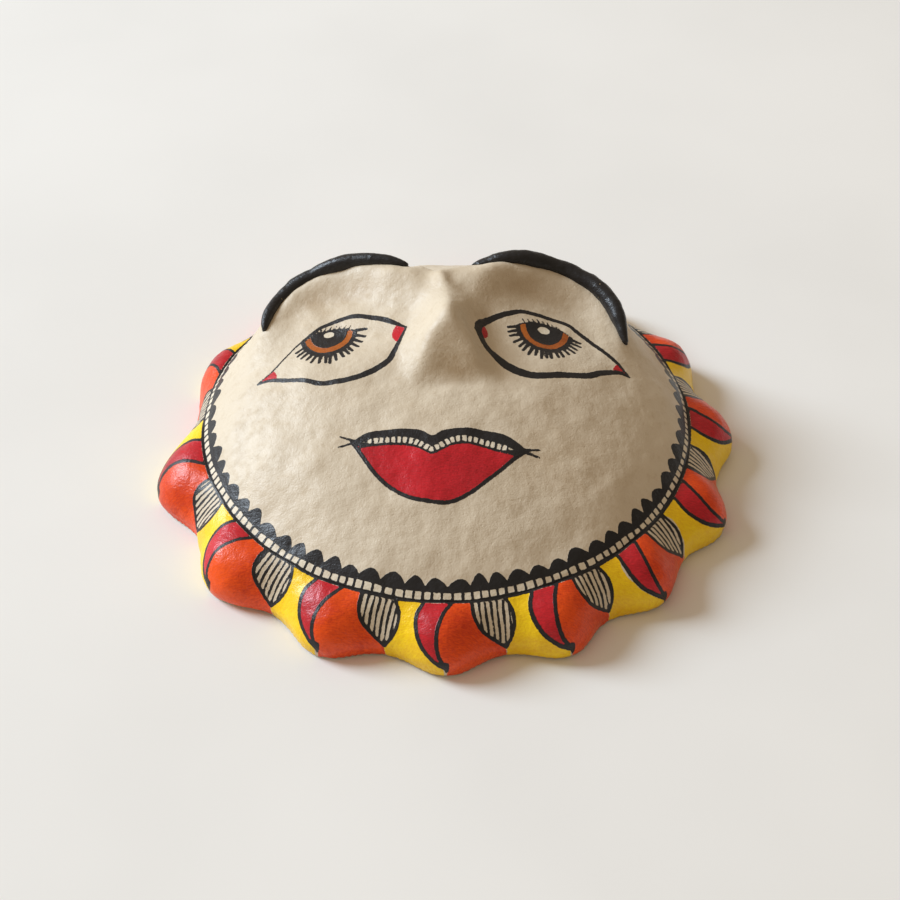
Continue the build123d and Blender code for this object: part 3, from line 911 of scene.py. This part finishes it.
def painted_pulp():
    """Cream ground on paper pulp, with brushed paint where the paint fields are below zero."""
    n = Nodes("painted_pulp")
    wide, mid, fine = n.noise(22, 3), n.noise(3.2, 3, 0.6), n.noise(0.7, 2, 0.6)
    brush = n.noise(1.6, 3, 0.6, n.stretched((1, 5, 1), (0, 0, 0.5)))
    wobble = n.math("MULTIPLY", n.math("SUBTRACT", n.noise(1.1, 2), 0.5), 0.55)

    def covers(colour, soft=0.10):
        """1 where a colour is brushed on, with a wobbling edge."""
        return n.ramp(n.math("ADD", n.field(colour), wobble), -soft, soft, 1.0, 0.0)

    colour = n.mix(n.ramp(wide, 0.35, 0.75, 0.0, 0.32), GROUND, GROUND_DARK)
    colour = n.mix(n.ramp(mid, 0.5, 0.8, 0.0, 0.45), colour, GROUND_DARK)
    colour = n.mix(n.ramp(brush, 0.5, 0.8, 0.0, 0.3), colour, GROUND_PALE)
    # painted shade and stains: the ground is browned by the field of shade and stain spots
    shade_and_stain_share = n.math("MULTIPLY", n.field("shade_and_stain"), n.ramp(n.noise(7, 4, 0.6), 0.3, 0.65, 0.3, 0.95))
    colour = n.mix(shade_and_stain_share, colour, SHADE_AND_STAIN_BROWN)
    paint = 0.0
    thin = n.ramp(n.mix_value(0.5, brush, wide), 0.36, 0.66)
    for name, (full_coat, thin_coat) in COATS.items():
        share = covers(name)
        colour = n.mix(share, colour, n.mix(thin, full_coat, thin_coat))
        paint = n.math("MAXIMUM", paint, share)
    line, dabs = covers("line", 0.09), covers("cream")
    # greyer streaks in the black lines: wear and painted sheen
    ink = n.mix(n.ramp(brush, 0.55, 0.9, 0.0, 0.5), BLACK, BLACK_WEAR_AND_SHEEN)
    colour = n.mix(line, colour, ink)
    colour = n.mix(dabs, colour, n.mix(n.ramp(mid, 0.45, 0.7, 0.0, 0.3), CREAM, GROUND_DARK))
    line = n.math("MULTIPLY", line, n.math("SUBTRACT", 1.0, dabs))
    rough = n.mix_value(paint, n.ramp(mid, 0.3, 0.8, 0.47, 0.63), n.ramp(brush, 0.3, 0.8, 0.29, 0.45))
    rough = n.mix_value(line, rough, n.ramp(brush, 0.3, 0.8, 0.34, 0.48))
    cells = n.put("TexVoronoi", {"Vector": n.coords, "Scale": 1 / (2.6 * MM), "Randomness": 1.0})
    pits = n.ramp(cells.outputs["Distance"], 0.0, 0.22)
    pulp = n.bump(n.weigh((mid, 0.7), (fine, 0.25), (pits, 0.14)), 0.42)
    normal = n.bump(n.weigh((line, 0.6), (paint, 0.4), (brush, 0.3)), 0.10, pulp)
    specular = n.mix_value(n.math("MAXIMUM", line, paint), 0.5, 0.4)
    return n.finish(colour, rough, {"Normal": normal, "Specular IOR Level": specular})


def black_paint():
    """The brows' thick black paint, chipped in a few spots."""
    n = Nodes("black_paint")
    mid, fine = n.noise(2.6, 3, 0.6), n.noise(0.6, 2)
    brush = n.noise(1.5, 3, 0.6, n.stretched((1, 4, 4)))
    colour = n.mix(n.ramp(brush, 0.52, 0.85, 0.0, 0.6), BLACK, BLACK_SHEEN)
    colour = n.mix(n.ramp(n.noise(1.9, 2), 0.76, 0.79), colour, GROUND_DARK)
    normal = n.bump(n.weigh((mid, 0.7), (fine, 0.25), (brush, 0.3)), 0.35)
    rough = n.ramp(brush, 0.3, 0.8, 0.3, 0.46)
    return n.finish(colour, rough, {"Normal": normal, "Specular IOR Level": 0.42})


def bare_paper(name, light, dark, size):
    """Pasted paper: fibres, stains and small creases."""
    n = Nodes(name)
    stains, fibres, fine = n.noise(size, 4, 0.6), n.noise(1.0, 4, 0.7), n.noise(0.35, 2)
    colour = n.mix(n.ramp(n.weigh((stains, 0.7), (fibres, 0.4)), 0.35, 0.8), light, dark)
    cells = n.put("TexVoronoi", {"Vector": n.coords, "Scale": 1 / (9 * MM)}, feature="DISTANCE_TO_EDGE")
    creases = n.ramp(cells.outputs[0], 0.0, 0.06)
    normal = n.bump(n.weigh((fibres, 0.6), (fine, 0.3), (creases, 0.35)), 0.3)
    return n.finish(colour, n.ramp(fibres, 0.3, 0.8, 0.8, 0.95), {"Normal": normal})


def pasted_scraps():
    """The lining's scraps, each of its own tone."""
    n = Nodes("pasted_scraps")
    fibres = n.noise(0.9, 4, 0.7)
    colour = n.mix(n.ramp(n.field("tone"), 0.0, 1.0, kind="LINEAR"), *SCRAP_TONES)
    colour = n.mix(n.ramp(n.noise(14, 4), 0.5, 0.8, 0.0, 0.5), colour, GLUE_STAIN)
    colour = n.mix(n.ramp(fibres, 0.4, 0.8, 0.0, 0.3), colour, TORN_FIBRE)
    return n.finish(colour, n.ramp(fibres, 0.3, 0.8, 0.78, 0.95), {"Normal": n.bump(fibres, 0.25)})


def galvanised_wire():
    n = Nodes("galvanised_wire")
    drawn, spots = n.noise(0.8, 3, 0.6, n.stretched((0.2, 3, 3))), n.noise(3.5, 4, 0.6)
    colour = n.mix(n.ramp(spots, 0.45, 0.75), ZINC, ZINC_DULL)
    colour = n.mix(n.ramp(n.noise(5, 4, 0.7), 0.66, 0.74), colour, RUST)
    rough = n.ramp(drawn, 0.3, 0.8, 0.28, 0.5)
    return n.finish(colour, rough, {"Normal": n.bump(drawn, 0.04), "Metallic": 0.9})


def plain_floor():
    n = Nodes("pale_floor")
    return n.finish(n.mix(n.ramp(n.noise(160, 3), 0.3, 0.7), FLOOR, FLOOR_PATCH), 0.85)


def dress(piece, body, material):
    """Gives a new piece its body, finish and material slot."""
    piece.data.materials.clear()
    piece.data.materials.append(material)
    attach(piece, body)


def repaint(node, material):
    """Gives a CAD node that stays in view its material."""
    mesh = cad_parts[node].data
    mesh.materials.clear()
    mesh.materials.append(material)


# -------------------------------- the object

surface = face_surface()
paint = painted_pulp()
dress(make_face(surface), "mask", paint)
dress(make_collar(surface), "mask", paint)
brow_paint = black_paint()
for node in ("brow_left", "brow_right"):
    dress(make_lump(node, **BROW), "mask", brow_paint)
dress(make_lining(), "mask", pasted_scraps())
pulp = bare_paper("bare_pulp", *RAW_PULP, 5)
for node in ("wire_anchor_left", "wire_anchor_right"):
    dress(make_lump(node, **ANCHOR), "mask", pulp)
kraft = bare_paper("kraft_paper", *KRAFT, 12)
for node in ("seam_strip", "rim_strip"):
    repaint(node, kraft)
repaint("hanging_wire", galvanised_wire())


# -------------------------------- floor, light and camera

CAMERA_RISE = 43.7        # degrees above the floor
CAMERA_AWAY = 0.717
CAMERA_ANGLE = 27.0
CAMERA_AIM = Vector((0.0014, -0.0169, 0.020))
WINDOW = Vector((-3.9, 1.52, 2.72))
WINDOW_AIM = Vector((0, 0, 0.02))
WINDOW_SIZE, WINDOW_POWER = 2.2, 318.0
DAYLIGHT = (0.75, 0.87, 1.0)
ROOM = (1.0, 0.80, 0.58, 1)
ROOM_DIM, ROOM_BRIGHT = 0.15, 0.62      # away from the window and towards it
WALL = (0.80, 0.78, 0.74, 1)            # what the camera sees of the room


def add_floor():
    low, high = (Vector(corner) for corner in cad_bounds)
    centre = (low + high) / 2
    bpy.ops.mesh.primitive_plane_add(size=8, location=(centre.x, centre.y, low.z - 0.0002))
    floor = bpy.context.object
    floor.name = "floor"
    floor.data.materials.append(plain_floor())


def aim_at(item, place, aim):
    item.location = place
    item.rotation_euler = (aim - place).to_track_quat("-Z", "Y").to_euler()


def add_window():
    data = bpy.data.lights.new("window", "AREA")
    data.shape = "DISK"
    data.size = WINDOW_SIZE
    data.energy = WINDOW_POWER
    data.color = DAYLIGHT
    aim_at(link_object("window", data), WINDOW, WINDOW_AIM)


def add_camera():
    data = bpy.data.cameras.new("camera")
    data.angle = math.radians(CAMERA_ANGLE)
    data.clip_start = 0.01
    camera = link_object("camera", data)
    rise = math.radians(CAMERA_RISE)
    aim_at(camera, CAMERA_AIM + Vector((0, -math.cos(rise), math.sin(rise))) * CAMERA_AWAY, CAMERA_AIM)
    bpy.context.scene.camera = camera


def add_room():
    """A warm room that is brighter on the window's side, and plain where the camera looks at it."""
    world = bpy.data.worlds.new("pale_room")
    world.use_nodes = True
    nodes, links = world.node_tree.nodes, world.node_tree.links
    toward = nodes.new("ShaderNodeVectorMath")
    toward.operation = "DOT_PRODUCT"
    toward.inputs[1].default_value = WINDOW.normalized()
    links.new(nodes.new("ShaderNodeTexCoord").outputs["Generated"], toward.inputs[0])
    strength = nodes.new("ShaderNodeMapRange")
    ranges = {"From Min": -1.0, "From Max": 1.0, "To Min": ROOM_DIM, "To Max": ROOM_BRIGHT}
    for socket, value in ranges.items():
        strength.inputs[socket].default_value = value
    links.new(toward.outputs["Value"], strength.inputs["Value"])
    room = nodes["Background"]
    room.inputs["Color"].default_value = ROOM
    links.new(strength.outputs["Result"], room.inputs["Strength"])
    wall = nodes.new("ShaderNodeBackground")
    wall.inputs["Color"].default_value = WALL
    seen = nodes.new("ShaderNodeMixShader")
    links.new(nodes.new("ShaderNodeLightPath").outputs["Is Camera Ray"], seen.inputs[0])
    links.new(room.outputs[0], seen.inputs[1])
    links.new(wall.outputs[0], seen.inputs[2])
    links.new(seen.outputs[0], nodes["World Output"].inputs["Surface"])
    bpy.context.scene.world = world


add_floor()
add_window()
add_camera()
add_room()
bpy.context.scene.view_settings.view_transform = "Standard"
